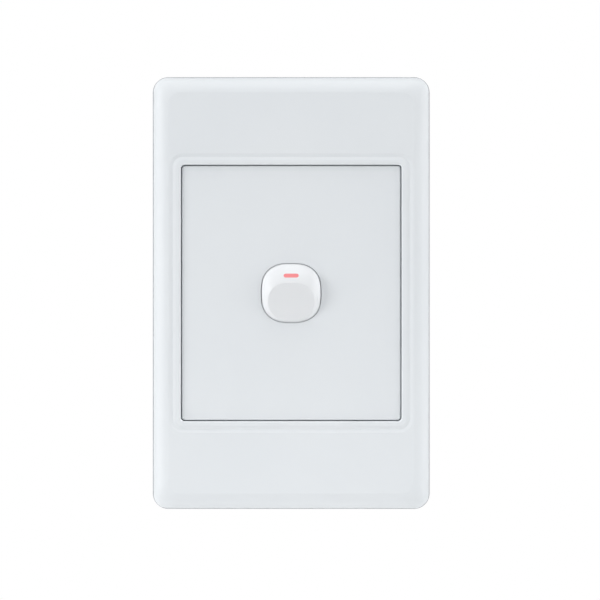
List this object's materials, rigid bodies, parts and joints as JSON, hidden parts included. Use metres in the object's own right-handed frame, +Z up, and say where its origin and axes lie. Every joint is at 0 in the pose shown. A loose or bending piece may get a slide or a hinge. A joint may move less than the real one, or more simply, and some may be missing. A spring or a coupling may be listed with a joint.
{
  "type": "lever light switch",
  "caption": "Flush wall light switch with a moulded surround, flat panel and a barrel-shaped rocking lever over a rocking-contact mechanism with screw terminals.",
  "frame": {"origin": "on the wall plane, midway between the two fixing slots, at the centre of the plate", "axes": "+Z up along the plate's long side, +Y into the wall, -Y towards the viewer, +X to the viewer's right"},
  "size_m": [0.075, 0.0362, 0.117],
  "materials": {
    "white_plastic": "satin moulded",
    "red_inlay": "satin moulded",
    "plated_steel": "zinc plated",
    "base_plastic": "matte moulded",
    "plunger_plastic": "matte moulded",
    "spring_steel": "drawn wire",
    "terminal_brass": "machined",
    "contact_silver": "polished"
  },
  "bodies": {
    "body": {"surround": "white_plastic", "front_panel": "white_plastic", "yoke": "plated_steel", "pivot_frame": "base_plastic", "switch_base": "base_plastic", "pivot_bracket": "terminal_brass", "load_strip": "terminal_brass", "fixed_tip": "contact_silver", "common_pillar": "terminal_brass", "load_pillar": "terminal_brass", "common_screw": "plated_steel", "load_screw": "plated_steel", "module_screws": "plated_steel", "earth_screw": "terminal_brass", "earth_clamp": "terminal_brass", "earth_nut": "terminal_brass"},
    "lever": {"lever": "white_plastic", "on_mark": "red_inlay", "plunger_spring": "spring_steel"},
    "plunger": {"plunger": "plunger_plastic"},
    "rocker": {"contact_rocker": "terminal_brass", "moving_tip": "contact_silver"}
  },
  "joints": [
    {"name": "lever_rock", "type": "hinge", "parent": "body", "child": "lever", "pos_m": [0, -0.002, 0], "axis": [-1, 0, 0], "range_deg": [0, 30]},
    {"name": "plunger_slide", "type": "slide", "parent": "lever", "child": "plunger", "axis": [0, -0.9659, -0.2588], "range_m": [0, 0.001], "stiffness_N_per_m": 800, "springref_m": -0.003, "deforming": ["plunger_spring"]},
    {"name": "rocker_tilt", "type": "hinge", "parent": "body", "child": "rocker", "pos_m": [0, 0.009, 0], "axis": [1, 0, 0], "range_deg": [0, 16]}
  ],
  "couplings": [
    {"joint": "rocker_tilt", "follows": "lever_rock", "ratio": 0.5333}
  ]
}
